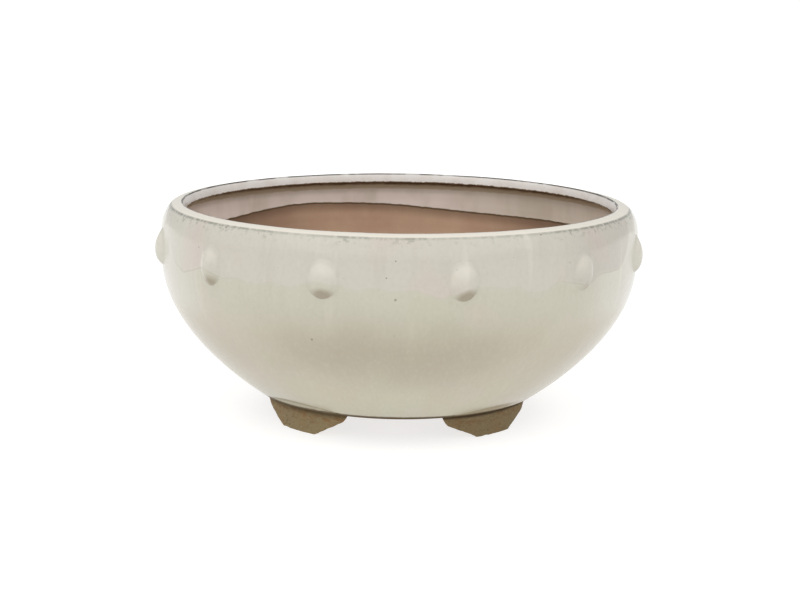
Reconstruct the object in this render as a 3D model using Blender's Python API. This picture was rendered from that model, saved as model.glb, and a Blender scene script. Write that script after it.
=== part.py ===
"""Round studded bonsai pot, made as the potter's separate pieces of clay.

A turned wall closes on a bevelled floor slab, a rim coil with an inward lip sits on the wall,
twelve domed bosses are luted round the belly, and four cloud feet carry the base ring. Every
piece keeps a thin line of slip, LUTE_GAP, from the piece it is luted to. The axis of the pot is
Z, its front faces -Y and the feet stand on z = 0. Heights in the constants are measured from
the underside of the bowl, which the feet raise by FOOT_HEIGHT.
"""

import math

import bmesh
import bpy

MM = 0.001
LUTE_GAP = 0.3 * MM
TURN_STEPS = 72
WALL_STATIONS = 10
SHOULDER_STATIONS = 3
RIM_STATIONS = 5
HOLE_SEGMENTS = 24
SMOOTH_BELOW = math.radians(35)

# Outside of the bowl: a parabola from the base ring to the belly, a short upright stretch and
# a rounded shoulder that leans in to the rim.
BASE_RADIUS = 91 * MM
BELLY_RADIUS = 150 * MM
BELLY_HEIGHT = 85 * MM
SHOULDER_HEIGHT = 102 * MM
RIM_CORNER_RADIUS = 143.6 * MM
RIM_CORNER_HEIGHT = 118.2 * MM

# Inside of the bowl: the wall and the floor.
WALL_THICKNESS = 7.5 * MM
FLOOR_THICKNESS = 9 * MM
FLOOR_TOP_RADIUS = 90 * MM
FLOOR_BOTTOM_RADIUS = 83 * MM
DRAIN_RADIUS = 20 * MM
WIRE_HOLE_RADIUS = 4 * MM
WIRE_HOLE_CIRCLE = 52 * MM
WIRE_HOLE_COUNT = 4

# Rim coil: its joint with the wall, its crest at the mouth and its overhanging lip.
RIM_JOINT_HEIGHT = 108.5 * MM
CREST_RADIUS = 138.2 * MM
CREST_HEIGHT = 119.4 * MM
LIP_RADIUS = 135.8 * MM
LIP_HEIGHT = 113.4 * MM
COVE_DEPTH = 3 * MM

# Bosses: squashed domes, half sunk in the wall before they are trimmed to it.
BOSS_COUNT = 12
BOSS_HEIGHT = 94 * MM
BOSS_HALF_WIDTH = 10.5 * MM
BOSS_HALF_TALL = 13 * MM
BOSS_HALF_DEPTH = 6 * MM
BOSS_SEAT = 0.4 * MM
BOSS_SEGMENTS = 16
BOSS_RINGS = 8

# Feet: blocks bent round the base ring and cut to a cloud outline. The flat pad in the middle
# ends on a step of the bend, three eighths of the way out. The ends are thick, and the inner
# side of a foot is shorter than its outer side by the share FOOT_TAPER.
FOOT_HEIGHT = 17 * MM
FOOT_TOP_RADIUS = 87 * MM
FOOT_BOTTOM_RADIUS = 85.4 * MM
FOOT_INNER_RADIUS = 71 * MM
FOOT_TOP_HALF_ANGLE = math.radians(26.5)
FOOT_PAD_HALF_ANGLE = FOOT_TOP_HALF_ANGLE * 3 / 8
FOOT_TIP_THICKNESS = 6 * MM
FOOT_FULLNESS = 0.85
FOOT_TAPER = 0.17
FOOT_STEPS = 16
FOOT_AZIMUTHS = {
    "foot_front_right": 45,
    "foot_back_right": 135,
    "foot_back_left": 225,
    "foot_front_left": 315,
}

# Colour and roughness of each surface.
FINISHES = {
    "wall_glaze": ((0.62, 0.59, 0.51), 0.32),
    "rim_glaze": ((0.70, 0.67, 0.60), 0.30),
    "boss_glaze": ((0.63, 0.60, 0.52), 0.28),
    "floor_clay": ((0.33, 0.23, 0.15), 0.85),
    "foot_clay": ((0.20, 0.15, 0.08), 0.90),
}


def clear_scene():
    """Remove every object, so the pot is the only thing in the scene."""
    for existing in list(bpy.data.objects):
        bpy.data.objects.remove(existing, do_unlink=True)


def make_material(name):
    """A Principled material for one kind of surface."""
    colour, roughness = FINISHES[name]
    material = bpy.data.materials.new(name)
    material.use_nodes = True
    shader = material.node_tree.nodes["Principled BSDF"]
    shader.inputs["Base Color"].default_value = (*colour, 1.0)
    shader.inputs["Roughness"].default_value = roughness
    shader.inputs["Metallic"].default_value = 0.0
    return material


def add_object(name, mesh, material=None):
    """Put a mesh in the scene under its own name, with its material if it has one."""
    if material is not None and not mesh.materials:
        mesh.materials.append(material)
    piece = bpy.data.objects.new(name, mesh)
    bpy.context.scene.collection.objects.link(piece)
    return piece


def finish_mesh(name, shape):
    """Turn a finished bmesh into a mesh that faces outwards and is shaded smooth."""
    bmesh.ops.recalc_face_normals(shape, faces=shape.faces)
    mesh = bpy.data.meshes.new(name)
    shape.to_mesh(mesh)
    shape.free()
    mesh.shade_smooth()
    mesh.set_sharp_from_angle(angle=SMOOTH_BELOW)
    return mesh


def hide_cutter(cutter):
    """Show a cutting shape as a wire only, and leave it out of the pot."""
    cutter.hide_render = True
    cutter.display_type = "WIRE"


def cut_with(piece, cutter):
    """Take the cutter's volume away from the piece."""
    trim = piece.modifiers.new("trim_" + cutter.name, "BOOLEAN")
    trim.operation = "DIFFERENCE"
    trim.solver = "EXACT"
    trim.object = cutter


def outer_radius(height):
    """Radius of the outside of the pot at a height above the underside of the bowl."""
    if height < BELLY_HEIGHT:
        below = 1 - height / BELLY_HEIGHT
        return BELLY_RADIUS - (BELLY_RADIUS - BASE_RADIUS) * below**2
    if height <= SHOULDER_HEIGHT:
        return BELLY_RADIUS
    rise = RIM_CORNER_HEIGHT - SHOULDER_HEIGHT
    run = BELLY_RADIUS - RIM_CORNER_RADIUS
    arc = (rise**2 + run**2) / (2 * run)
    return BELLY_RADIUS - arc + math.sqrt(arc**2 - (height - SHOULDER_HEIGHT) ** 2)


def inner_radius(height):
    """Radius of the inside of the wall, the same kind of curve started from the floor."""
    inner_belly = BELLY_RADIUS - WALL_THICKNESS
    if height >= BELLY_HEIGHT:
        return inner_belly
    below = (BELLY_HEIGHT - height) / (BELLY_HEIGHT - FLOOR_THICKNESS)
    return inner_belly - (inner_belly - FLOOR_TOP_RADIUS) * below**2


def stations(low, high, count):
    """Evenly spaced heights from low to high."""
    return [low + (high - low) * step / (count - 1) for step in range(count)]


def wall_outside(clearance=0.0):
    """Points up the outside of the wall, moved out by a clearance."""
    heights = stations(0, BELLY_HEIGHT, WALL_STATIONS)
    heights += stations(SHOULDER_HEIGHT, RIM_JOINT_HEIGHT, SHOULDER_STATIONS)
    return [(outer_radius(height) + clearance, height) for height in heights]


def turn(name, outline):
    """Spin a closed outline of (radius, height) points once round the axis of the pot."""
    shape = bmesh.new()
    points = [shape.verts.new((radius, 0.0, height)) for radius, height in outline]
    edges = [shape.edges.new((points[index - 1], points[index])) for index in range(len(points))]
    bmesh.ops.spin(
        shape,
        geom=points + edges,
        axis=(0, 0, 1),
        cent=(0, 0, 0),
        angle=math.tau,
        steps=TURN_STEPS,
        use_merge=True,
    )
    return finish_mesh(name, shape)


def make_bowl_wall(material):
    """The turned wall, open at the bottom where the floor slab is luted in."""
    heights = stations(FLOOR_THICKNESS, BELLY_HEIGHT, WALL_STATIONS) + [RIM_JOINT_HEIGHT]
    inside = [(inner_radius(height), height) for height in heights]
    seat = [(FLOOR_BOTTOM_RADIUS, 0)]
    outline = wall_outside() + inside[::-1] + seat
    wall = add_object("bowl_wall", turn("bowl_wall", outline), material)
    wall.location.z = FOOT_HEIGHT


def make_hole_cutter(name, radius, place):
    """A round cutter that passes right through the floor slab."""
    shape = bmesh.new()
    bmesh.ops.create_cone(
        shape,
        cap_ends=True,
        segments=HOLE_SEGMENTS,
        radius1=radius,
        radius2=radius,
        depth=4 * FLOOR_THICKNESS,
    )
    cutter = add_object(name, finish_mesh(name, shape))
    cutter.location = (place[0], place[1], FOOT_HEIGHT)
    hide_cutter(cutter)
    return cutter


def make_floor_slab(material):
    """The floor: a disc with a bevelled edge, one drain hole and four holes for tie wires."""
    bevel_run = FLOOR_TOP_RADIUS - FLOOR_BOTTOM_RADIUS
    side_gap = LUTE_GAP * math.hypot(bevel_run, FLOOR_THICKNESS) / FLOOR_THICKNESS
    shape = bmesh.new()
    bmesh.ops.create_cone(
        shape,
        cap_ends=True,
        segments=TURN_STEPS,
        radius1=FLOOR_BOTTOM_RADIUS - side_gap,
        radius2=FLOOR_TOP_RADIUS - side_gap,
        depth=FLOOR_THICKNESS,
    )
    floor = add_object("floor_slab", finish_mesh("floor_slab", shape), material)
    floor.location.z = FOOT_HEIGHT + FLOOR_THICKNESS / 2
    cut_with(floor, make_hole_cutter("drain_cutter", DRAIN_RADIUS, (0, 0)))
    for index in range(WIRE_HOLE_COUNT):
        angle = math.tau * index / WIRE_HOLE_COUNT
        place = (WIRE_HOLE_CIRCLE * math.cos(angle), WIRE_HOLE_CIRCLE * math.sin(angle))
        cut_with(floor, make_hole_cutter(f"wire_hole_cutter_{index + 1}", WIRE_HOLE_RADIUS, place))


def make_rim(material):
    """The rim coil: shoulder outside, sloping top, and a lip that overhangs the wall."""
    foot_of_rim = RIM_JOINT_HEIGHT + LUTE_GAP
    cove_radius = inner_radius(RIM_JOINT_HEIGHT)
    heights = stations(foot_of_rim, RIM_CORNER_HEIGHT, RIM_STATIONS)
    outline = [(outer_radius(height), height) for height in heights] + [
        (CREST_RADIUS, CREST_HEIGHT),
        (LIP_RADIUS, LIP_HEIGHT),
        (cove_radius - COVE_DEPTH, LIP_HEIGHT),
        (cove_radius, LIP_HEIGHT - COVE_DEPTH),
        (cove_radius, foot_of_rim),
    ]
    rim = add_object("rim", turn("rim", outline), material)
    rim.location.z = FOOT_HEIGHT


def make_wall_clearance():
    """A cutter that fills the wall and its line of slip, to trim the backs of the bosses."""
    core_radius = BASE_RADIUS / 2
    outline = wall_outside(LUTE_GAP) + [(core_radius, RIM_JOINT_HEIGHT), (core_radius, 0)]
    cutter = add_object("wall_clearance", turn("wall_clearance", outline))
    cutter.location.z = FOOT_HEIGHT
    hide_cutter(cutter)
    return cutter


def make_bosses(material):
    """Twelve equal domes round the belly, spaced so that two flank the front."""
    wall_clearance = make_wall_clearance()
    shape = bmesh.new()
    bmesh.ops.create_uvsphere(
        shape, u_segments=BOSS_SEGMENTS, v_segments=BOSS_RINGS, radius=1.0
    )
    bmesh.ops.scale(
        shape, vec=(BOSS_HALF_WIDTH, BOSS_HALF_DEPTH, BOSS_HALF_TALL), verts=shape.verts
    )
    dome = finish_mesh("boss", shape)
    seat_radius = BELLY_RADIUS - BOSS_SEAT
    for index in range(BOSS_COUNT):
        azimuth = math.tau * (index + 0.5) / BOSS_COUNT
        boss = add_object(f"boss_{index + 1:02d}", dome, material)
        boss.location = (
            seat_radius * math.sin(azimuth),
            -seat_radius * math.cos(azimuth),
            FOOT_HEIGHT + BOSS_HEIGHT,
        )
        boss.rotation_euler.z = azimuth
        cut_with(boss, wall_clearance)


def foot_underside(offset_angle):
    """Height of a foot's lower edge, at an angle to either side of the foot's middle."""
    across = FOOT_TOP_HALF_ANGLE - FOOT_PAD_HALF_ANGLE
    climb = (abs(offset_angle) - FOOT_PAD_HALF_ANGLE) / across
    if climb < 1 / FOOT_STEPS:
        return 0.0
    top = FOOT_HEIGHT - LUTE_GAP - FOOT_TIP_THICKNESS
    return top * climb**FOOT_FULLNESS


def make_foot_mesh():
    """One foot, bent round the axis and facing -Y, with its pad on z = 0."""
    top = FOOT_HEIGHT - LUTE_GAP
    corners = (
        (FOOT_INNER_RADIUS, 0.0),
        (FOOT_BOTTOM_RADIUS, 0.0),
        (FOOT_TOP_RADIUS, top),
        (FOOT_INNER_RADIUS, top),
    )
    start = -FOOT_TOP_HALF_ANGLE
    shape = bmesh.new()
    section = shape.faces.new(
        [
            shape.verts.new((radius * math.sin(start), -radius * math.cos(start), height))
            for radius, height in corners
        ]
    )
    bmesh.ops.spin(
        shape,
        geom=[section, *section.edges, *section.verts],
        axis=(0, 0, 1),
        cent=(0, 0, 0),
        angle=2 * FOOT_TOP_HALF_ANGLE,
        steps=FOOT_STEPS,
    )
    for vertex in shape.verts:
        angle = math.atan2(vertex.co.x, -vertex.co.y)
        radius = math.hypot(vertex.co.x, vertex.co.y)
        if vertex.co.z < top / 2:
            vertex.co.z = foot_underside(angle)
        inward = (FOOT_TOP_RADIUS - radius) / (FOOT_TOP_RADIUS - FOOT_INNER_RADIUS)
        angle *= 1 - FOOT_TAPER * inward
        vertex.co.x = radius * math.sin(angle)
        vertex.co.y = -radius * math.cos(angle)
    return finish_mesh("foot", shape)


def make_feet(material):
    """Four feet under the base ring, at the diagonals of the pot."""
    block = make_foot_mesh()
    for name, degrees in FOOT_AZIMUTHS.items():
        foot = add_object(name, block, material)
        foot.rotation_euler.z = math.radians(degrees)


def main():
    """Build the whole pot."""
    clear_scene()
    make_bowl_wall(make_material("wall_glaze"))
    make_floor_slab(make_material("floor_clay"))
    make_rim(make_material("rim_glaze"))
    make_bosses(make_material("boss_glaze"))
    make_feet(make_material("foot_clay"))


main()
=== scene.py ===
# %% [markdown]
# # A round bonsai pot with twelve bosses
#
# This lesson dresses the plain solids of a pot as fired, glazed clay. The solids give every
# place and size; the pieces made here give the soft edges, the ragged lip, the bosses that
# melt into the wall, and the glaze itself. It starts by loading the solids as a fixed frame.

# %% Load the frame
import math
import random

import bmesh
import bpy
from mathutils import Matrix, Vector, noise


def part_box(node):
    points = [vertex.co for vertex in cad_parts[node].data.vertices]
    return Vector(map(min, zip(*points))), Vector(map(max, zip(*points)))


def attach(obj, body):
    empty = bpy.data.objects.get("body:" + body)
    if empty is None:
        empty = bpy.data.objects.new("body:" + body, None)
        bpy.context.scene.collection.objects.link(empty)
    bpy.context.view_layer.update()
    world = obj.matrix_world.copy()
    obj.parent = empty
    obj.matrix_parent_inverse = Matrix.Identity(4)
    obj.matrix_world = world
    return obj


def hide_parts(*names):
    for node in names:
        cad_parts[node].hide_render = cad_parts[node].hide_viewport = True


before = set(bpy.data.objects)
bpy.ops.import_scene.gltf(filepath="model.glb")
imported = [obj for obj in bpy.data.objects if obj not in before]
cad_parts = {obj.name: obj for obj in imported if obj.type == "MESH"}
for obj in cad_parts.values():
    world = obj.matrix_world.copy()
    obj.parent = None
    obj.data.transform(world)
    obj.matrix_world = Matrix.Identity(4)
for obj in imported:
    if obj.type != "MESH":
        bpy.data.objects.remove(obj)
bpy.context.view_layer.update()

print("solids:", ", ".join(sorted(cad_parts)))

# %% [markdown]
# ## The camera
#
# A pot is usually shown from a little above, with a long lens from about a metre away, so
# that the mouth is a slim ellipse and the sides stay nearly parallel. The camera is turned by
# three small rotations in a row: round the pot, down by its pitch, and a slight roll, because
# the pot doesn't stand quite level in the view.

# %% Set the camera
MM = 0.001
CAMERA_DISTANCE = 1137 * MM
CAMERA_HEIGHT = 291 * MM
CAMERA_PITCH = math.radians(11.09)
CAMERA_AZIMUTH = math.radians(0.78)
CAMERA_AIM = math.radians(-0.07)
CAMERA_ROLL = math.radians(0.9)
CAMERA_LENS = 80.75

camera_data = bpy.data.cameras.new("camera")
camera_data.lens = CAMERA_LENS
camera_data.sensor_width = 36
camera_data.sensor_fit = "HORIZONTAL"
camera = bpy.data.objects.new("camera", camera_data)
bpy.context.scene.collection.objects.link(camera)
camera.matrix_world = (
    Matrix.Rotation(CAMERA_AZIMUTH, 4, "Z")
    @ Matrix.Translation((0, -CAMERA_DISTANCE, CAMERA_HEIGHT))
    @ Matrix.Rotation(CAMERA_AIM, 4, "Z")
    @ Matrix.Rotation(math.pi / 2 - CAMERA_PITCH, 4, "X")
    @ Matrix.Rotation(CAMERA_ROLL, 4, "Z")
)
bpy.context.scene.camera = camera
print("camera at", [round(value, 3) for value in camera.matrix_world.translation])

# %% [markdown]
# ## The light and the floor
#
# Glazed ware is shown in a white tent on a lit table: light from everywhere, so that the
# glaze has soft sheens, no hard glints, and hardly a shadow. A white world is the tent. Three
# suns as wide as a sheet of cloth give it some direction: one overhead, and one low at each
# side for the round flanks. The table glows a little, which also lights the underside.

# %% Light the studio
WORLD_STRENGTH = 0.62
# Each sun: height above the horizon, bearing from the front towards the right, width, power.
SUNS = {
    "tent_top": (62, 5, 100, 1.35),
    "tent_left": (36, -75, 60, 0.42),
    "tent_right": (36, 80, 60, 0.18),
}

bpy.context.scene.view_settings.view_transform = "Standard"
world = bpy.data.worlds.new("white_tent")
world.use_nodes = True
world.node_tree.nodes["Background"].inputs["Color"].default_value = (1.0, 1.0, 1.0, 1.0)
world.node_tree.nodes["Background"].inputs["Strength"].default_value = WORLD_STRENGTH
bpy.context.scene.world = world
for name, (up, bearing, width, power) in SUNS.items():
    light = bpy.data.lights.new(name, "SUN")
    light.angle = math.radians(width)
    light.energy = power
    sun = bpy.data.objects.new(name, light)
    bpy.context.scene.collection.objects.link(sun)
    tilt = Matrix.Rotation(math.radians(90 - up), 4, "X")
    sun.matrix_world = Matrix.Rotation(math.radians(bearing), 4, "Z") @ tilt
print("lights:", ", ".join(SUNS))

# %% Lay the floor
FLOOR_HALF_SIZE = 60.0

shape = bmesh.new()
bmesh.ops.create_grid(shape, x_segments=1, y_segments=1, size=FLOOR_HALF_SIZE)
floor_mesh = bpy.data.meshes.new("studio_floor")
shape.to_mesh(floor_mesh)
shape.free()
studio_floor = bpy.data.objects.new("studio_floor", floor_mesh)
bpy.context.scene.collection.objects.link(studio_floor)
floor_paint = bpy.data.materials.new("white_floor")
floor_paint.use_nodes = True
floor_shader = floor_paint.node_tree.nodes["Principled BSDF"]
floor_shader.inputs["Base Color"].default_value = (0.4, 0.4, 0.4, 1.0)
floor_shader.inputs["Roughness"].default_value = 0.9
floor_shader.inputs["Specular IOR Level"].default_value = 0.2
floor_shader.inputs["Emission Color"].default_value = (1.0, 1.0, 1.0, 1.0)
floor_shader.inputs["Emission Strength"].default_value = 0.74
floor_mesh.materials.append(floor_paint)
print("floor laid,", 2 * FLOOR_HALF_SIZE, "m across")

# %% [markdown]
# ## Measuring the solids
#
# Nothing is typed twice: heights come from the boxes of the solids, and radii from the
# vertices of the solids near a height. Angles round the pot start at the front and run to
# the right, so a point at angle a lies at (r sin a, -r cos a).

# %% Read the sizes
SNAP = 0.02 * MM


def radius_of(point):
    """Distance of a point from the axis of the pot."""
    return math.hypot(point.x, point.y)


def azimuth_of(point):
    """Angle of a point round the axis, from the front towards the right."""
    return math.atan2(point.x, -point.y)


def radii_at(node, height):
    """Smallest and largest radius of a solid's vertices at a height."""
    points = [vertex.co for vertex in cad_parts[node].data.vertices]
    radii = [radius_of(point) for point in points if abs(point.z - height) < SNAP]
    return min(radii), max(radii)


BASE_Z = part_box("bowl_wall")[0].z
JOINT_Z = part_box("bowl_wall")[1].z
CREST_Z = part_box("rim")[1].z
FLOOR_TOP_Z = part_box("floor_slab")[1].z
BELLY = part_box("bowl_wall")[1].x
SEAT_RADIUS, BASE_RADIUS = radii_at("bowl_wall", BASE_Z)
INNER_RADIUS = radii_at("bowl_wall", JOINT_Z)[0]
FLOOR_RADIUS = radii_at("bowl_wall", FLOOR_TOP_Z)[0]
CREST_RADIUS = radii_at("rim", CREST_Z)[0]
LIP_RADIUS = min(radius_of(vertex.co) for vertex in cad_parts["rim"].data.vertices)
print(f"radii: belly {BELLY:.4f}, base ring {BASE_RADIUS:.4f}, crest {CREST_RADIUS:.4f}")
print(f"heights: floor {FLOOR_TOP_Z:.4f}, joint {JOINT_Z:.4f}, crest {CREST_Z:.4f}")

# %% [markdown]
# ## The shape of the bowl
#
# A thrown bowl is one curve turned round an axis. This one opens as a parabola from the base
# ring, stands upright for a finger's width at the belly, and leans in to the rim along an
# arc. Two short functions hold that curve, so the wall, the rim and the bosses all agree.

# %% Draw the curve
BELLY_Z = BASE_Z + 85 * MM
SHOULDER_Z = BASE_Z + 102 * MM
CORNER_Z = CREST_Z - 1.2 * MM
CORNER_RADIUS = CREST_RADIUS + 5.4 * MM
LIP_Z = CREST_Z - 6 * MM
COVE = 3 * MM
SHOULDER_RUN = BELLY - CORNER_RADIUS
SHOULDER_ARC = ((CORNER_Z - SHOULDER_Z) ** 2 + SHOULDER_RUN**2) / (2 * SHOULDER_RUN)


def outside(height):
    """Radius of the outside of the pot at a height."""
    if height < BELLY_Z:
        below = (BELLY_Z - height) / (BELLY_Z - BASE_Z)
        return BELLY - (BELLY - BASE_RADIUS) * below**2
    if height < SHOULDER_Z:
        return BELLY
    return BELLY - SHOULDER_ARC + math.sqrt(SHOULDER_ARC**2 - (height - SHOULDER_Z) ** 2)


def inside(height):
    """Radius of the inside of the wall at a height."""
    if height > BELLY_Z:
        return INNER_RADIUS
    below = (BELLY_Z - height) / (BELLY_Z - FLOOR_TOP_Z)
    return INNER_RADIUS - (INNER_RADIUS - FLOOR_RADIUS) * below**2


def stations(low, high, count):
    """Evenly spaced heights from low to high."""
    return [low + (high - low) * step / (count - 1) for step in range(count)]


print(f"radius outside: {outside(BASE_Z):.4f} at the base, {outside(CORNER_Z):.4f} at the rim")

# %% [markdown]
# ## What the hand leaves
#
# Fired clay is never a perfect turned shape. The body is a millimetre or two wider from side
# to side than from front to back, the rim waves, the wall swells where a boss was pressed on,
# and a thumb has smeared slip above each foot. Each of these is a small function of the place
# on the pot, used by every piece, so that neighbours stay together.

# %% Widen and wave
OVAL = 0.35 * MM
LOBES = 0.25 * MM
WIDENING = 1.75 * MM
SIDE_SHIFT = 0.4 * MM
RIM_LIFT = 0.3 * MM
# Waves of the rim: how many round the pot, how high, and where they start.
RIM_WAVES = ((1, 0.45 * MM, -0.35), (2, 0.20 * MM, 1.44), (3, 0.10 * MM, -1.3))


def away_from_mouth(point):
    """1 over the body of the pot, falling to 0 at the crest and the lip of the rim."""
    outward = (radius_of(point) - CREST_RADIUS) / (CORNER_RADIUS - CREST_RADIUS)
    upward = (point.z - JOINT_Z) / (LIP_Z - COVE - JOINT_Z)
    return 1 - (1 - min(max(outward, 0), 1)) * min(max(upward, 0), 1)


def by_hand(point):
    """The point where the hand left it: a little out of round and a little out of level."""
    share = max((point.z - BASE_Z) / (CREST_Z - BASE_Z), 0.0)
    azimuth = azimuth_of(point)
    grow = OVAL * math.sin(2 * azimuth + 0.6) + LOBES * math.sin(3 * azimuth + 2.0)
    sideways = (WIDENING + SIDE_SHIFT * math.sin(azimuth)) * math.sin(azimuth) ** 2
    grow = grow * share + sideways * share**0.5 * away_from_mouth(point)
    stretch = 1 + grow / max(radius_of(point), SNAP)
    rise = RIM_LIFT
    for count, high, start in RIM_WAVES:
        rise += high * math.sin(count * azimuth + start)
    return Vector((point.x * stretch, point.y * stretch, point.z + share**2 * rise))


print("waves of the rim, mm:", [round(high / MM, 2) for _, high, _ in RIM_WAVES])

# %% Swell the wall round the bosses
BOSSES = sorted(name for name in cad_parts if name.startswith("boss_"))
BOSS_Z = (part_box(BOSSES[0])[0].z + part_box(BOSSES[0])[1].z) / 2
BOSS_PITCH = math.tau / len(BOSSES)
BOSS_AZIMUTHS = {name: BOSS_PITCH * (index + 0.5) for index, name in enumerate(BOSSES)}
SWELL_HALF_WIDTH = 17 * MM
SWELL_HALF_TALL = 19 * MM
SWELL_RISE = 0.9 * MM


def swelling(azimuth, height):
    """How far the wall bulges towards the nearest boss."""
    turns = (azimuth - BOSS_PITCH / 2) / BOSS_PITCH
    across = BELLY * BOSS_PITCH * (turns - round(turns))
    reach = (across / SWELL_HALF_WIDTH) ** 2 + ((height - BOSS_Z) / SWELL_HALF_TALL) ** 2
    return SWELL_RISE * max(0.0, 1 - reach) ** 2


print(len(BOSSES), "bosses at", round(BOSS_Z, 4), "m")

# %% Smear slip above the feet
# Each smear: shift from the foot's middle in degrees, half width in degrees, height, depth.
SMEARS = {
    "foot_front_left": (4, 21, 6.0 * MM, 1.5 * MM),
    "foot_front_right": (1, 24, 5.5 * MM, 0.3 * MM),
    "foot_back_left": (3, 19, 5.5 * MM, 1.2 * MM),
    "foot_back_right": (-4, 17, 5.0 * MM, 0.9 * MM),
}
FOOT_AZIMUTHS = {name: azimuth_of(sum(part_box(name), Vector()) / 2) for name in SMEARS}


def turn_between(first, second):
    """Shortest angle from one azimuth to another."""
    return (second - first + math.pi) % math.tau - math.pi


def smear(azimuth, height):
    """Share of a thumb smear at a place (0 to 1), and how deep it is there."""
    for name, (shift, half_width, tall, depth) in SMEARS.items():
        middle = FOOT_AZIMUTHS[name] + math.radians(shift)
        across = turn_between(middle, azimuth) / math.radians(half_width)
        if abs(across) >= 1:
            continue
        lens = math.cos(across * math.pi / 2)
        up = (height - BASE_Z) / (tall * max(lens, 0.05))
        if 0 <= up < 1:
            share = math.sin(math.pi * up**0.8) * lens**0.5
            lip = 0.7 * depth * max(0.0, 1 - up / 0.3) * lens**0.5
            return share, share * depth - lip
    return 0.0, 0.0


print("smears above", ", ".join(SMEARS))

# %% [markdown]
# ## Turning a piece
#
# The lathe of Blender is the spin operator: a closed outline of a few points is swept once
# round the axis. Ring edges that should be soft are then bevelled. The place of each vertex
# as drawn is kept in an attribute named drawn, so that a glaze line can follow the drawn
# edge after the clay has been pushed about.

# %% Helpers for making a piece
def turned(outline, steps):
    """Spin a closed outline of (radius, height) points once round the axis."""
    shape = bmesh.new()
    points = [shape.verts.new((0.0, -radius, height)) for radius, height in outline]
    edges = [shape.edges.new((points[index - 1], points[index])) for index in range(len(points))]
    bmesh.ops.spin(
        shape,
        geom=points + edges,
        axis=(0, 0, 1),
        cent=(0, 0, 0),
        angle=math.tau,
        steps=steps,
        use_merge=True,
    )
    bmesh.ops.recalc_face_normals(shape, faces=shape.faces)
    return shape


def soften_ring(shape, radius, height, offset, segments):
    """Bevel the ring of edges that runs round the pot through one corner of the outline."""
    ring = [
        edge
        for edge in shape.edges
        if all(
            abs(radius_of(end.co) - radius) < SNAP and abs(end.co.z - height) < SNAP
            for end in edge.verts
        )
    ]
    bmesh.ops.bevel(
        shape,
        geom=ring,
        offset=offset,
        segments=segments,
        profile=0.5,
        affect="EDGES",
        material=-1,
    )


def keep_drawn_places(shape):
    """Write each vertex's place into the attribute drawn, before the clay is moved."""
    drawn = shape.verts.layers.float_vector.new("drawn")
    for vertex in shape.verts:
        vertex[drawn] = vertex.co


PIECES = []


def make_piece(name, shape, nodes, sharp_above=40):
    """Turn a bmesh into a named piece that stands for CAD nodes and rides on the pot."""
    mesh = bpy.data.meshes.new(name)
    shape.to_mesh(mesh)
    shape.free()
    mesh.shade_smooth()
    mesh.set_sharp_from_angle(angle=math.radians(sharp_above))
    piece = bpy.data.objects.new(name, mesh)
    bpy.context.scene.collection.objects.link(piece)
    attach(piece, "root")
    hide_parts(*nodes)
    PIECES.append(piece)
    return piece


print("ready to turn")

# %% [markdown]
# ## The wall
#
# On the real pot the wall is thrown on the wheel, so outside it is smooth under its glaze,
# and inside it keeps faint rings from the fingers and a dimple behind each boss. Its base
# ring sags a little below the bowl in front and behind. A sculpted mesh could hold that too,
# but moving the vertices of a turned one by a few functions is exact and easy to change.

# %% Turn the wall
TURN_STEPS = 720
CLOSE_ROWS_TALL = 9 * MM
RING_PITCH = 7 * MM
RING_DEPTH = 0.12 * MM
BASE_LEDGE = 0.9 * MM
LEDGE_AT_SIDES = 0.15
DIMPLE_DEPTH = 1.0 * MM
DIMPLE_RADIUS = 12 * MM

lower_rows = stations(BASE_Z, BASE_Z + CLOSE_ROWS_TALL, 14)
upper_rows = stations(BASE_Z + CLOSE_ROWS_TALL, JOINT_Z, 56)[1:]
inner_rows = stations(FLOOR_TOP_Z, JOINT_Z, 42)
wall_outline = [(outside(height), height) for height in lower_rows + upper_rows]
wall_outline += [(inside(height), height) for height in reversed(inner_rows)]
wall_outline += [
    (SEAT_RADIUS, BASE_Z),
    (BASE_RADIUS - 4 * MM, BASE_Z),
    (BASE_RADIUS - 3.2 * MM, BASE_Z - BASE_LEDGE),
    (BASE_RADIUS - 0.25 * MM, BASE_Z - BASE_LEDGE),
]
wall = turned(wall_outline, TURN_STEPS)
soften_ring(wall, BASE_RADIUS, BASE_Z, 0.5 * MM, 2)
print("wall as turned:", len(wall.faces), "faces")


# %% Press the wall by hand
# The inner glaze line: a level, and tongues that climb where the glaze ran less. Each tongue:
# bearing from the front in degrees, climb, half width in degrees.
GLAZE_LINE_Z = BASE_Z + 92.8 * MM
GLAZE_TONGUES = ((210, 5.5 * MM, 18), (185, 3.6 * MM, 17), (75, 3.0 * MM, 34), (330, 4.5 * MM, 26))


def glaze_line(azimuth):
    """Height at which the glaze inside the mouth gives way to bare clay."""
    height = GLAZE_LINE_Z
    for middle, climb, half_width in GLAZE_TONGUES:
        across = math.degrees(turn_between(math.radians(middle), azimuth)) / half_width
        height += climb * math.exp(-across * across)
    return height


def dimple(azimuth, height):
    """How far the inside is pressed out behind the nearest boss."""
    turns = (azimuth - BOSS_PITCH / 2) / BOSS_PITCH
    across = BELLY * BOSS_PITCH * (turns - round(turns))
    reach = math.hypot(across, height - BOSS_Z) / DIMPLE_RADIUS
    return DIMPLE_DEPTH * max(0.0, 1 - reach**2) ** 2


def press(vertex, move_out):
    """Move a vertex away from the axis by a distance."""
    radius = radius_of(vertex.co)
    vertex.co.x *= 1 + move_out / radius
    vertex.co.y *= 1 + move_out / radius


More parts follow.
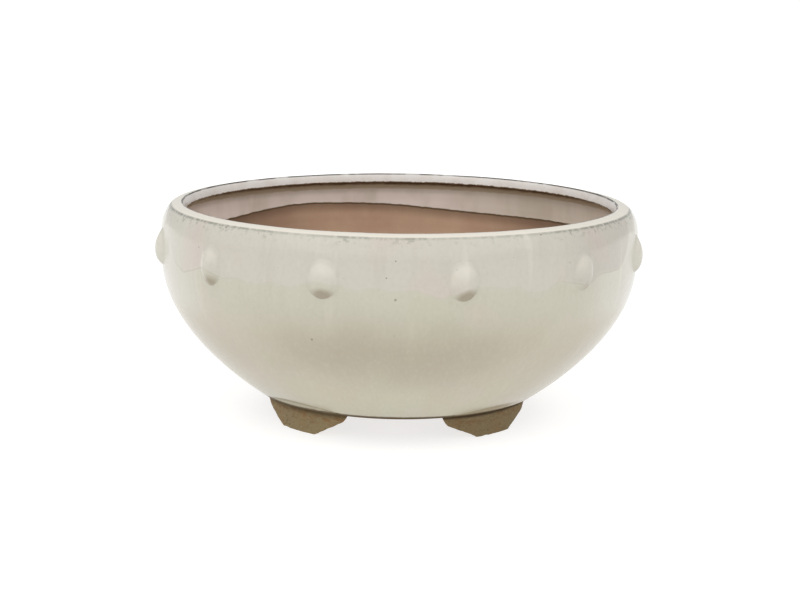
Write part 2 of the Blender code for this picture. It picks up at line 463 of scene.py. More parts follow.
keep_drawn_places(wall)
smear_share = wall.verts.layers.float.new("smear")
above_line = wall.verts.layers.float.new("above_line")
for vertex in wall.verts:
    azimuth, height = azimuth_of(vertex.co), vertex.co.z
    middle = (outside(height) + inside(max(height, FLOOR_TOP_Z))) / 2
    vertex[above_line] = height - glaze_line(azimuth)
    if radius_of(vertex.co) > middle:
        vertex[smear_share], depth = smear(azimuth, height)
        press(vertex, swelling(azimuth, height) - depth)
    elif height > FLOOR_TOP_Z + SNAP:
        ring = RING_DEPTH * math.sin(math.tau * (height / RING_PITCH + azimuth / math.tau))
        press(vertex, dimple(azimuth, height) + ring)
    if height < BASE_Z - SNAP:
        sag = LEDGE_AT_SIDES + (1 - LEDGE_AT_SIDES) * math.cos(azimuth) ** 4
        vertex.co.z = BASE_Z - (BASE_Z - height) * sag
    vertex.co = by_hand(vertex.co)

INSIDE_ZONE, BASE_ZONE = 1, 2
drawn_layer = wall.verts.layers.float_vector["drawn"]
for face in wall.faces:
    middle = sum((corner[drawn_layer] for corner in face.verts), Vector()) / len(face.verts)
    if middle.z < BASE_Z + SNAP or radius_of(middle) < FLOOR_RADIUS and middle.z < FLOOR_TOP_Z:
        face.material_index = BASE_ZONE
    elif radius_of(middle) < (outside(middle.z) + inside(max(middle.z, FLOOR_TOP_Z))) / 2:
        face.material_index = INSIDE_ZONE
glazed_wall = make_piece("glazed_wall", wall, ["bowl_wall"])
print("glazed_wall:", len(glazed_wall.data.polygons), "faces")

# %% [markdown]
# ## The rim
#
# The rim is a coil that was pulled inwards and trimmed. Its top slopes out to a soft corner,
# its crest at the mouth is crisp, and its lip hangs over the wall with a torn lower edge and
# a cove behind it. The soft corners are bevelled rings; the torn edge is noise that acts only
# near the lip.

# %% Turn the rim
CORNER_BEVEL = 1.8 * MM
CREST_BEVEL = 0.35 * MM
TEAR = 0.45 * MM
TEAR_REACH = 1.4 * MM

rim_rows = stations(JOINT_Z, CORNER_Z - 2.2 * MM, 8)
rim_outline = [(outside(height), height) for height in rim_rows]
rim_outline += [
    (CORNER_RADIUS, CORNER_Z),
    (CREST_RADIUS, CREST_Z),
    ((CREST_RADIUS + LIP_RADIUS) / 2 - 0.25 * MM, (CREST_Z + LIP_Z) / 2 + 0.8 * MM),
    (LIP_RADIUS + 0.25 * MM, LIP_Z + 1.2 * MM),
    (LIP_RADIUS, LIP_Z),
    (LIP_RADIUS + 1.2 * MM, LIP_Z + 0.2 * MM),
    (INNER_RADIUS - COVE, LIP_Z + 0.3 * MM),
    (INNER_RADIUS - 0.3 * COVE, LIP_Z - 0.3 * COVE),
    (INNER_RADIUS, LIP_Z - COVE),
    (INNER_RADIUS, JOINT_Z),
]
rim = turned(rim_outline, TURN_STEPS)
soften_ring(rim, CORNER_RADIUS, CORNER_Z, CORNER_BEVEL, 5)
soften_ring(rim, CREST_RADIUS, CREST_Z, CREST_BEVEL, 3)
keep_drawn_places(rim)
print("rim as turned:", len(rim.faces), "faces")


# %% Tear the lip
def along_rim(azimuth, pitch, seed):
    """Smooth noise between -1 and 1 that closes on itself round the rim."""
    loop = LIP_RADIUS / pitch
    return noise.noise(Vector((loop * math.cos(azimuth), loop * math.sin(azimuth), seed)))


for vertex in rim.verts:
    azimuth = azimuth_of(vertex.co)
    away = math.hypot(radius_of(vertex.co) - LIP_RADIUS, vertex.co.z - LIP_Z)
    near = max(0.0, 1 - away / TEAR_REACH)
    tear = along_rim(azimuth, 5 * MM, 3.1) + 0.6 * along_rim(azimuth, 1.8 * MM, 7.7)
    vertex.co.z += TEAR * near * tear
    press(vertex, 0.3 * MM * near * along_rim(azimuth, 3 * MM, 12.0))
    if radius_of(vertex.co) > CREST_RADIUS - 0.1 * MM:
        above_joint = max(0.0, (vertex.co.z - JOINT_Z) / (CREST_Z - JOINT_Z))
        press(vertex, swelling(azimuth, vertex.co.z))
        vertex.co.z += 0.12 * MM * above_joint * along_rim(azimuth, 25 * MM, 20.0)
    vertex.co = by_hand(vertex.co)

LIP_ZONE, COVE_ZONE = 1, 2
drawn_layer = rim.verts.layers.float_vector["drawn"]
for face in rim.faces:
    middle = sum((corner[drawn_layer] for corner in face.verts), Vector()) / len(face.verts)
    if radius_of(middle) < CREST_RADIUS and middle.z > LIP_Z + 0.15 * MM:
        face.material_index = LIP_ZONE
    elif radius_of(middle) <= INNER_RADIUS + SNAP and middle.z < LIP_Z + 0.5 * MM:
        face.material_index = COVE_ZONE
glazed_rim = make_piece("glazed_rim", rim, ["rim"])
print("glazed_rim:", len(glazed_rim.data.polygons), "faces")

# %% [markdown]
# ## The bosses
#
# Each boss is a ball of clay pressed on the wall. Above, it melts into the wall; below, it
# ends in a crisp crease that holds a shadow. Half a sphere is a good start, because its rings
# crowd together at the edge, where the slope changes fastest. Each ring is then laid on the
# wall and lifted by a dome whose edge is soft at the top and steep at the bottom.

# %% Press on the bosses
BOSS_HALF_WIDTH = 10.0 * MM
BOSS_HALF_TALL = 12.2 * MM
BOSS_RISE = 4.1 * MM
BOSS_SINK = 0.05 * MM
BOSS_BACK = 1.5 * MM
BOSS_CENTRE = -0.18
DOME_ROUNDNESS = 2.4
SOFT_EDGE = 1.6
STEEP_EDGE = 0.8

# Each boss: how far from its mark it was pressed on, in degrees, and how strong the painted
# shade under it is. The others fall where they may.
BOSS_HABITS = {
    "boss_01": (-0.1, 1.0),
    "boss_02": (1.3, 0.5),
    "boss_03": (0.6, 0.4),
    "boss_10": (-0.4, 0.4),
    "boss_11": (-1.2, 0.8),
    "boss_12": (-0.7, 1.0),
}


def dome(across, up):
    """Share of a boss's height at a place in its unit circle: soft above, steep below."""
    direction = math.atan2(up - BOSS_CENTRE, across)
    forward = BOSS_CENTRE * math.sin(direction)
    to_edge = -forward + math.sqrt(forward * forward + 1 - BOSS_CENTRE**2)
    reach = min(1.0, math.hypot(across, up - BOSS_CENTRE) / to_edge)
    upward = (1 + math.sin(direction)) / 2
    return (1 - reach**DOME_ROUNDNESS) ** (STEEP_EDGE + (SOFT_EDGE - STEEP_EDGE) * upward**0.45)


def make_boss(name):
    """One boss, laid on the wall at its own place, no two quite alike."""
    luck = random.Random(name)
    twist = math.radians(luck.uniform(-14, 14))
    by_chance = (luck.uniform(-0.8, 0.8), luck.uniform(0.5, 1.0))
    shift, painted_shade_share = BOSS_HABITS.get(name, by_chance)
    middle = BOSS_AZIMUTHS[name] + math.radians(shift)
    width = BOSS_HALF_WIDTH * luck.uniform(0.95, 1.06)
    tall = BOSS_HALF_TALL * luck.uniform(0.96, 1.05)
    rise = BOSS_RISE * luck.uniform(0.92, 1.06)
    shape = bmesh.new()
    bmesh.ops.create_uvsphere(shape, u_segments=56, v_segments=32, radius=1.0)
    everything = list(shape.verts) + list(shape.edges) + list(shape.faces)
    bmesh.ops.bisect_plane(
        shape, geom=everything, plane_co=(0, 0, 0), plane_no=(0, 0, 1), clear_inner=True
    )
    open_edges = [edge for edge in shape.edges if edge.is_boundary]
    back = bmesh.ops.extrude_edge_only(shape, edges=open_edges)["geom"]
    back_rim = [item for item in back if isinstance(item, bmesh.types.BMVert)]
    bmesh.ops.translate(shape, verts=back_rim, vec=(0, 0, -1))
    bmesh.ops.holes_fill(shape, edges=[edge for edge in shape.edges if edge.is_boundary])
    drawn = shape.verts.layers.float_vector.new("drawn")
    boss_up = shape.verts.layers.float.new("boss_up")
    boss_rise = shape.verts.layers.float.new("boss_rise")
    boss_painted_shade = shape.verts.layers.float.new("boss_painted_shade")
    for vertex in shape.verts:
        across, up = vertex.co.x, vertex.co.y
        risen = dome(across, up)
        vertex[boss_up], vertex[boss_rise] = up, risen
        # Painted shade: a patch in the crease under the boss.
        away = math.hypot((across - 0.05) / 0.95, (up + 0.82) / 0.54)
        vertex[boss_painted_shade] = painted_shade_share * max(0.0, 1 - away)
        buried = vertex.co.z < -0.5
        lift = -BOSS_BACK if buried else rise * risen - BOSS_SINK
        turned_across = across * math.cos(twist) - up * math.sin(twist)
        turned_up = across * math.sin(twist) + up * math.cos(twist)
        azimuth = middle + turned_across * width / BELLY
        height = BOSS_Z + turned_up * tall
        radius = outside(height) + swelling(azimuth, height) + lift
        vertex[drawn] = (radius * math.sin(azimuth), -radius * math.cos(azimuth), height)
        vertex.co = by_hand(vertex[drawn])
    bmesh.ops.recalc_face_normals(shape, faces=shape.faces)
    return make_piece("glazed_" + name, shape, [name], sharp_above=60)


for name in BOSSES:
    make_boss(name)
print(len(BOSSES), "bosses of", len(PIECES[-1].data.polygons), "faces")

# %% [markdown]
# ## The floor slab
#
# The slab is seen only from above and below: bare clay, a drain hole with a worn edge, four
# holes for the wires that tie the tree down, and a spiral from the wheel. The outline is
# turned with the drain hole in it, and the wire holes are cut by Booleans that are applied.

# %% Turn the floor
DRAIN_RADIUS = min(radius_of(vertex.co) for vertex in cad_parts["floor_slab"].data.vertices)
WIRE_HOLE_RADIUS = 4 * MM
WIRE_HOLE_CIRCLE = 52 * MM
SLAB_TOP_RADIUS = radii_at("floor_slab", FLOOR_TOP_Z)[1]
SLAB_BASE_RADIUS = radii_at("floor_slab", BASE_Z)[1]
SPIRAL_DEPTH = 0.25 * MM
SPIRAL_PITCH = 6.5 * MM

slab_rings = stations(SLAB_TOP_RADIUS, DRAIN_RADIUS, 56)
SLAB_STEPS = 144
DRAIN_EDGE = 0.9 * MM

slab_outline = [(radius, FLOOR_TOP_Z) for radius in slab_rings]
slab_outline += [(radius, BASE_Z) for radius in stations(DRAIN_RADIUS, SLAB_BASE_RADIUS, 8)]
slab = turned(slab_outline, SLAB_STEPS)
soften_ring(slab, DRAIN_RADIUS, FLOOR_TOP_Z, DRAIN_EDGE, 3)
soften_ring(slab, DRAIN_RADIUS, BASE_Z, DRAIN_EDGE, 3)
keep_drawn_places(slab)
fired_floor = make_piece("fired_floor", slab, ["floor_slab"])

cutters = []
for index in range(4):
    azimuth = index * math.pi / 2
    shape = bmesh.new()
    bmesh.ops.create_cone(
        shape,
        cap_ends=True,
        segments=32,
        radius1=WIRE_HOLE_RADIUS,
        radius2=WIRE_HOLE_RADIUS,
        depth=40 * MM,
        matrix=Matrix.Translation(
            (WIRE_HOLE_CIRCLE * math.sin(azimuth), -WIRE_HOLE_CIRCLE * math.cos(azimuth), BASE_Z)
        ),
    )
    cutter_mesh = bpy.data.meshes.new("wire_hole_cutter")
    shape.to_mesh(cutter_mesh)
    shape.free()
    cutters.append(bpy.data.objects.new("wire_hole_cutter", cutter_mesh))
    bpy.context.scene.collection.objects.link(cutters[-1])
    cut = fired_floor.modifiers.new("wire_hole", "BOOLEAN")
    cut.operation = "DIFFERENCE"
    cut.object = cutters[-1]
bpy.context.view_layer.update()
pierced = bpy.data.meshes.new_from_object(
    fired_floor.evaluated_get(bpy.context.evaluated_depsgraph_get())
)
fired_floor.modifiers.clear()
fired_floor.data = pierced
for cutter in cutters:
    bpy.data.objects.remove(cutter, do_unlink=True)
for vertex in pierced.vertices:
    if vertex.co.z > FLOOR_TOP_Z - SNAP:
        radius, azimuth = radius_of(vertex.co), azimuth_of(vertex.co)
        vertex.co.z -= SPIRAL_DEPTH * (
            0.5 + 0.5 * math.sin(math.tau * (radius / SPIRAL_PITCH) + azimuth)
        )
print("fired_floor:", len(pierced.polygons), "faces")

# %% [markdown]
# ## The feet
#
# A cloud foot is a short block of clay bent round the base ring, with its underside cut away
# towards both ends so that only the middle touches the table. Spinning a small grid gives the
# bent block with faces enough to shape; its lower side is then raised along the cut, its
# edges are bevelled, and noise roughens the cut clay.

# %% Cut the feet
FOOT_STEPS = 64
FOOT_EDGE = 0.9 * MM
ROUND_FROM = 0.78
FOOT_TAPER = 0.18
FOOT_END_ROUND = 5.0 * MM
FOOT_ROUGH = 0.2 * MM
FOOT_RAGGED = 0.55 * MM

foot_points = [vertex.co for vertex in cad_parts["foot_front_right"].data.vertices]
foot_middle = FOOT_AZIMUTHS["foot_front_right"]
foot_turns = [abs(turn_between(foot_middle, azimuth_of(point))) for point in foot_points]
FOOT_HALF_ANGLE = max(foot_turns)
PAD_HALF_ANGLE = max(turn for turn, point in zip(foot_turns, foot_points) if point.z < SNAP)
FOOT_INNER = min(radius_of(point) for point in foot_points)
FOOT_OUTER_TOP = max(radius_of(point) for point in foot_points)
FOOT_OUTER_PAD = max(radius_of(point) for point in foot_points if point.z < SNAP)
# Each foot: how far from its mark it was luted on, in degrees; how its cut climbs (1 is
# straight, less is fuller); how thick its ends are left; how dark its clay is, which also
# deepens the painted shadow along its top.
FOOT_HABITS = {
    "foot_front_left": (0.1, 1.0, 4.0 * MM, 0.0),
    "foot_front_right": (1.1, 0.85, 6.3 * MM, 0.35),
    "foot_back_left": (0.6, 0.9, 5.6 * MM, 0.2),
    "foot_back_right": (-0.8, 0.95, 5.0 * MM, 0.1),
}
print("foot spans", round(math.degrees(2 * FOOT_HALF_ANGLE)), "degrees, pad",
      round(math.degrees(2 * PAD_HALF_ANGLE)), "degrees")


def foot_underside(offset, fullness, tip):
    """Height of a foot's lower edge at an angle from its middle."""
    climb = (abs(offset) - PAD_HALF_ANGLE) / (FOOT_HALF_ANGLE - PAD_HALF_ANGLE)
    if climb <= 0:
        return 0.0
    rounded = max(0.0, (min(climb, 1.0) - ROUND_FROM) / (1 - ROUND_FROM))
    return (BASE_Z - tip) * min(climb, 1.0) ** fullness + FOOT_END_ROUND * rounded**2


def make_foot(name):
    """One bent, cut and roughened foot."""
    shift, fullness, tip, darkness = FOOT_HABITS[name]
    luck = random.Random(name)
    seed = luck.uniform(0, 50)
    shape = bmesh.new()
    bmesh.ops.create_grid(
        shape,
        x_segments=6,
        y_segments=8,
        size=0.5,
        matrix=Matrix.Translation((0.5, 0, 0.5)) @ Matrix.Rotation(math.pi / 2, 4, "X"),
    )
    bmesh.ops.rotate(
        shape, verts=shape.verts, cent=(0, 0, 0), matrix=Matrix.Rotation(-math.pi / 2, 3, "Z")
    )
    bmesh.ops.translate(shape, verts=shape.verts, vec=(0, -1, 0))
    middle = FOOT_AZIMUTHS[name] + math.radians(shift)
    start = Matrix.Rotation(middle - FOOT_HALF_ANGLE, 3, "Z")
    bmesh.ops.rotate(shape, verts=shape.verts, cent=(0, 0, 0), matrix=start)
    bmesh.ops.spin(
        shape,
        geom=list(shape.verts) + list(shape.edges) + list(shape.faces),
        axis=(0, 0, 1),
        cent=(0, 0, 0),
        angle=2 * FOOT_HALF_ANGLE,
        steps=FOOT_STEPS,
    )
    for vertex in shape.verts:
        across, up = radius_of(vertex.co) - 1, vertex.co.z
        azimuth = azimuth_of(vertex.co)
        outer = FOOT_OUTER_PAD + (FOOT_OUTER_TOP - FOOT_OUTER_PAD) * up
        radius = FOOT_INNER + (outer - FOOT_INNER) * across
        offset = turn_between(middle, azimuth)
        under = foot_underside(offset, fullness, tip)
        azimuth = middle + offset * (1 - FOOT_TAPER * (1 - across))
        vertex.co = (
            radius * math.sin(azimuth),
            -radius * math.cos(azimuth),
            under + (BASE_Z - under) * up,
        )
    bmesh.ops.recalc_face_normals(shape, faces=shape.faces)
    crisp = [
        edge
        for edge in shape.edges
        if edge.calc_face_angle(0) > math.radians(35)
        and min(end.co.z for end in edge.verts) < BASE_Z - SNAP
    ]
    bmesh.ops.bevel(
        shape,
        geom=crisp,
        offset=FOOT_EDGE,
        segments=3,
        profile=0.5,
        affect="EDGES",
        clamp_overlap=True,
        material=-1,
    )
    keep_drawn_places(shape)
    tone = shape.verts.layers.float.new("tone")
    for vertex in shape.verts:
        vertex[tone] = darkness
        rough = noise.noise(vertex.co * 160 + Vector((seed, 0, 0)))
        rough += 0.6 * noise.noise(vertex.co * 480 + Vector((0, seed, 0)))
        ragged = noise.noise(vertex.co * 260 + Vector((0, 0, seed)))
        share = 1 - vertex.co.z / BASE_Z
        press(vertex, FOOT_ROUGH * rough)
        vertex.co.z = max(0.0, vertex.co.z + (FOOT_ROUGH * rough + FOOT_RAGGED * ragged) * share)
    return make_piece("clay_" + name, shape, [name], sharp_above=50)


for name in FOOT_AZIMUTHS:
    make_foot(name)
print("feet of", len(PIECES[-1].data.polygons), "faces")

# %% [markdown]
# ## Mixing a finish from nodes
#
# Every finish below is a recipe of noises and masks. A small class keeps a recipe readable:
# each method adds one node and returns the socket that carries its result. Colours are given
# as the eye reads them on a screen and turned into the linear numbers that the shader wants.

# %% A recipe book for materials
def screen_colour(red, green, blue):
    """Linear colour of a screen colour given from 0 to 255."""
    parts = [value / 255 for value in (red, green, blue)]
    linear = [p / 12.92 if p <= 0.04045 else ((p + 0.055) / 1.055) ** 2.4 for p in parts]
    return (*linear, 1.0)


class Recipe:
    """A material whose nodes are added one short call at a time."""

    def __init__(self, name):
        self.material = bpy.data.materials.new(name)
        self.material.use_nodes = True
        self.tree = self.material.node_tree
        self.shader = self.tree.nodes["Principled BSDF"]
        self.place = self.add("ShaderNodeTexCoord").outputs["Object"]
        drawn = self.add("ShaderNodeAttribute", attribute_name="drawn")
        parts = self.add("ShaderNodeSeparateXYZ", {"Vector": drawn.outputs["Vector"]})
        self.height = parts.outputs["Z"]
        flat = self.add(
            "ShaderNodeCombineXYZ", {"X": parts.outputs["X"], "Y": parts.outputs["Y"]}
        ).outputs["Vector"]
        length = self.add("ShaderNodeVectorMath", {0: flat}, operation="LENGTH")
        self.radius = length.outputs["Value"]
        self.facing = self.add("ShaderNodeVectorMath", {0: flat}, operation="NORMALIZE").outputs[0]

    def add(self, kind, inputs=None, **settings):
        """Add a node, set it up, and plug in numbers, colours or other nodes' sockets."""
        node = self.tree.nodes.new(kind)
        for key, value in settings.items():
            setattr(node, key, value)
        for key, value in (inputs or {}).items():
            if isinstance(value, bpy.types.NodeSocket):
                self.tree.links.new(value, node.inputs[key])
            else:
                node.inputs[key].default_value = value
        return node

    def sum(self, operation, first, second=0.0):
        """One arithmetic step."""
        return self.add("ShaderNodeMath", {0: first, 1: second}, operation=operation).outputs[0]

    def times(self, first, second):
        """One number, or one mask, multiplied by another."""
        return self.sum("MULTIPLY", first, second)

    def apart(self, value, middle=0.0):
        """How far a number is from a middle one, either way."""
        off = value if middle == 0.0 else self.sum("SUBTRACT", value, middle)
        return self.sum("ABSOLUTE", off)

    def attribute(self, name):
        """A number kept on the vertices of the piece."""
        return self.add("ShaderNodeAttribute", attribute_name=name).outputs["Fac"]

    def wrapped(self, lift):
        """The place on a cylinder round the axis, with heights scaled by lift."""
        around = self.add(
            "ShaderNodeVectorMath", {0: self.facing, "Scale": BELLY}, operation="SCALE"
        )
        parts = self.add("ShaderNodeSeparateXYZ", {"Vector": around.outputs[0]})
        height = self.times(self.height, lift)
        return self.add(
            "ShaderNodeCombineXYZ",
            {"X": parts.outputs["X"], "Y": parts.outputs["Y"], "Z": height},
        ).outputs["Vector"]

    def noise(self, scale, detail=3.0, roughness=0.5, vector=None):
        """Cloudy noise between 0 and 1, with scale in clouds per metre."""
        return self.add(
            "ShaderNodeTexNoise",
            {
                "Vector": vector or self.place,
                "Scale": scale,
                "Detail": detail,
                "Roughness": roughness,
            },
        ).outputs["Fac"]

    def fade(self, value, low, high, start=0.0, end=1.0):
        """A smooth step of a value, from start at low to end at high."""
        return self.add(
            "ShaderNodeMapRange",
            {"Value": value, "From Min": low, "From Max": high, "To Min": start, "To Max": end},
            interpolation_type="SMOOTHSTEP",
        ).outputs["Result"]

    def blend(self, share, under, over):
        """One colour laid over another."""
        return self.add(
            "ShaderNodeMix", {0: share, 6: under, 7: over}, data_type="RGBA"
        ).outputs[2]

    def specks(self, scale, share, size):
        """Round specks: one in some of the cells of a Voronoi pattern."""
        cells = self.add("ShaderNodeTexVoronoi", {"Vector": self.place, "Scale": scale})
        lot = self.add("ShaderNodeSeparateColor", {"Color": cells.outputs["Color"]})
        chosen = self.sum("LESS_THAN", lot.outputs[0], share)
        reach = self.times(lot.outputs[1], size * scale)
        past_edge = self.sum("SUBTRACT", cells.outputs["Distance"], reach)
        return self.times(self.fade(past_edge, -0.04, 0.04, 1.0, 0.0), chosen)

    def near_ring(self, radius, height, width, soft):
        """A mask along a ring of the outline, such as an edge."""
        out = self.sum("SUBTRACT", self.radius, radius)
        up = self.sum("SUBTRACT", self.height, height)
        squares = self.sum("ADD", self.times(out, out), self.times(up, up))
        return self.fade(self.sum("SQRT", squares), width, width + soft, 1.0, 0.0)

    def bump(self, height, distance, strength=1.0, under=None):
        """A bump whose height is in metres at full strength."""
        inputs = {"Height": height, "Distance": distance, "Strength": strength}
        if under is not None:
            inputs["Normal"] = under
        return self.add("ShaderNodeBump", inputs).outputs["Normal"]

    def finish(self, colour, roughness, normal, ior=1.5):
        """Plug the results into the shader."""
        self.tree.links.new(colour, self.shader.inputs["Base Color"])
        self.tree.links.new(normal, self.shader.inputs["Normal"])
        if isinstance(roughness, bpy.types.NodeSocket):
            self.tree.links.new(roughness, self.shader.inputs["Roughness"])
        else:
            self.shader.inputs["Roughness"].default_value = roughness
        self.shader.inputs["IOR"].default_value = ior
        return self.material


print("recipe book open")

# %% [markdown]
# ## The cream glaze
#
# This glaze is opaque, glossy and thick. It is palest where it lies thick on the shoulder,
# yellower where it thins down the bowl, and clouded with pinkish and greenish patches. It ran
# a little, which leaves faint upright streaks, and it is pricked by small dark specks. On the
# soft corner of the rim it thins and breaks to a speckled grey green.

# %% Mix the cream glaze
COAT = screen_colour(192, 188, 177)
COAT_PINK = screen_colour(194, 184, 175)
THIN_UPPER = screen_colour(187, 184, 168)
THIN_MIDDLE = screen_colour(186, 179, 162)
THIN_LOWER = screen_colour(183, 177, 156)
GREEN_CLOUD = screen_colour(185, 183, 163)
PINK_CLOUD = screen_colour(189, 178, 164)
# Darker glaze for runs, mottle and the coat line, also used as painted shade on the belly.
DARK_GLAZE_AND_PAINTED_SHADE = screen_colour(158, 148, 129)
BREAK_GREY = screen_colour(122, 124, 112)
# Pale glaze for runs, mottle and breaks, also used as a painted highlight on the bosses.
PALE_GLAZE_AND_HIGHLIGHT = screen_colour(226, 220, 207)
# Painted shade in the crease under each boss.
BOSS_PAINTED_SHADE = screen_colour(128, 112, 90)
# Tan slip above the feet, partly painted shade in the dent on the left.
SMEAR_TAN_AND_SHADE = screen_colour(152, 139, 112)
# Painted sheen high on both flanks.
FLANK_PAINTED_SHEEN = screen_colour(202, 199, 189)
FLANK_ROSE = screen_colour(172, 163, 155)
SPECK_BROWN = screen_colour(96, 84, 66)
EDGE_DARK = screen_colour(70, 68, 58)
# Bare base edge, darker than the clay as painted shade under the bowl.
BARE_BASE_AND_SHADE = screen_colour(84, 68, 44)


def cream_glaze(name, boss=False):
    """The outer glaze, from the base ring to the crest of the rim."""
    mix = Recipe(name)
    above_base = mix.sum("SUBTRACT", mix.height, BASE_Z)
    clouds = mix.noise(19, 2, 0.5)
    side_clouds = mix.noise(24, 2, 0.5, mix.wrapped(0.5))
    streaks = mix.noise(110, 2, 0.5, mix.wrapped(0.14))

    # Down the bowl the glaze turns from greenish cream to beige.
    wander = mix.times(mix.sum("SUBTRACT", clouds, 0.5), 30 * MM)
    drift = mix.sum("ADD", above_base, wander)
    colour = mix.blend(mix.fade(drift, 80 * MM, 50 * MM), THIN_UPPER, THIN_MIDDLE)
    colour = mix.blend(mix.fade(drift, 34 * MM, 14 * MM), colour, THIN_LOWER)
    colour = mix.blend(mix.fade(side_clouds, 0.52, 0.66, 0.0, 0.6), colour, GREEN_CLOUD)
    colour = mix.blend(mix.fade(clouds, 0.54, 0.66, 0.0, 0.45), colour, PINK_CLOUD)

    # Painted shade: broad darker patches low on the belly, strongest towards the front.
    facing = mix.add("ShaderNodeSeparateXYZ", {"Vector": mix.facing})
    aside = mix.apart(facing.outputs["X"])
    turned_aside = mix.sum("ADD", facing.outputs["Y"], mix.times(mix.noise(40, 3), 0.12))
    round_to_front = mix.fade(turned_aside, -0.70, -0.95, 0.10, 1.0)
    off_middle = mix.apart(drift, 48.5 * MM)
    belly = mix.fade(off_middle, 0.0, 36 * MM, 1.0, 0.0)
    painted_belly_shade = mix.times(mix.times(belly, round_to_front), 0.62)
    colour = mix.blend(painted_belly_shade, colour, DARK_GLAZE_AND_PAINTED_SHADE)

    # Both flanks are darker and yellower low down.
    flank = mix.fade(aside, 0.35, 0.85)
    low_flank = mix.times(flank, mix.fade(above_base, 66 * MM, 34 * MM, 0.0, 0.42))
    colour = mix.blend(low_flank, colour, DARK_GLAZE_AND_PAINTED_SHADE)
    # Painted sheen: both flanks are paler high up, where the side lights reflect.
    beside = mix.fade(aside, 0.70, 0.87)
    painted_flank_sheen = mix.times(beside, mix.fade(above_base, 54 * MM, 72 * MM, 0.0, 0.6))
    colour = mix.blend(painted_flank_sheen, colour, FLANK_PAINTED_SHEEN)

    # The second coat ends near the foot of the bosses, and shows a fine line at the sides.
    scallops = mix.noise(30, 2, 0.45, mix.wrapped(0.0))
    past_end = mix.times(mix.sum("SUBTRACT", scallops, 0.5), 24 * MM)
    past_end = mix.sum("SUBTRACT", mix.sum("ADD", above_base, past_end), 88.5 * MM)
    climb = mix.fade(aside, 0.88, 0.97, 0.0, 34 * MM)
    past_end = mix.sum("SUBTRACT", past_end, climb)
    coat = mix.blend(mix.fade(side_clouds, 0.5, 0.62), COAT, COAT_PINK)
    colour = mix.blend(mix.fade(past_end, -5.0 * MM, 5.0 * MM, 0.0, 0.5), colour, coat)
    colour = mix.blend(mix.fade(past_end, -0.9 * MM, 0.9 * MM, 0.0, 0.6), colour, coat)
    right_flank = mix.fade(facing.outputs["X"], 0.58, 0.80)
    rosy = mix.times(right_flank, mix.fade(past_end, -1 * MM, 2 * MM))
    colour = mix.blend(mix.times(rosy, 0.38), colour, FLANK_ROSE)
    sideways = mix.fade(aside, 0.55, 0.75, 0.05, 0.28)
    at_end = mix.fade(mix.apart(past_end), 0.1 * MM, 0.7 * MM, 1.0, 0.0)
    colour = mix.blend(mix.times(at_end, sideways), colour, DARK_GLAZE_AND_PAINTED_SHADE)

    # Runs: faint upright streaks, paler and darker.
    high = mix.fade(above_base, 50 * MM, 95 * MM, 0.12, 1.0)
    dark_runs = mix.times(mix.fade(streaks, 0.56, 0.72, 0.0, 0.10), high)
    pale_runs = mix.times(mix.fade(streaks, 0.44, 0.28, 0.0, 0.17), high)
    colour = mix.blend(dark_runs, colour, DARK_GLAZE_AND_PAINTED_SHADE)
    colour = mix.blend(pale_runs, colour, PALE_GLAZE_AND_HIGHLIGHT)

    # A fine mottle, then specks and pinholes.
    mottle = mix.noise(420, 3, 0.6, mix.wrapped(0.8))
    colour = mix.blend(mix.fade(mottle, 0.5, 0.7, 0.0, 0.08), colour, DARK_GLAZE_AND_PAINTED_SHADE)
    colour = mix.blend(mix.fade(mottle, 0.5, 0.3, 0.0, 0.05), colour, PALE_GLAZE_AND_HIGHLIGHT)
    colour = mix.blend(mix.specks(60, 0.3, 0.6 * MM), colour, SPECK_BROWN)
    upper = mix.fade(above_base, 80 * MM, 92 * MM, 0.1, 1.0)
    small = mix.times(mix.specks(160, 0.45, 0.5 * MM), upper)
    colour = mix.blend(small, colour, SPECK_BROWN)
    fine = mix.times(mix.specks(240, 0.06, 0.3 * MM), 0.5)
    colour = mix.blend(fine, colour, SPECK_BROWN)

    if boss:
        # The upper side of a boss's cap is paler, partly glaze breaking thin over the high point
        # and partly a painted highlight; the crease below it gets painted shade.
        rise = mix.attribute("boss_rise")
        upper_half = mix.fade(mix.attribute("boss_up"), -0.35, 0.5, 0.0, 0.28)
        pale_cap_and_highlight = mix.times(mix.fade(rise, 0.08, 0.45), upper_half)
        colour = mix.blend(pale_cap_and_highlight, colour, PALE_GLAZE_AND_HIGHLIGHT)
        uneven = mix.times(mix.sum("SUBTRACT", mix.noise(90, 2), 0.5), 0.2)
        painted_crease_shade = mix.sum("ADD", mix.attribute("boss_painted_shade"), uneven)
        painted_crease_shade = mix.fade(painted_crease_shade, 0.04, 0.72, 0.0, 0.66)
        painted_crease_shade = mix.times(painted_crease_shade, mix.fade(rise, 0.0, 0.2, 0.5, 1.0))
        colour = mix.blend(painted_crease_shade, colour, BOSS_PAINTED_SHADE)
    else:
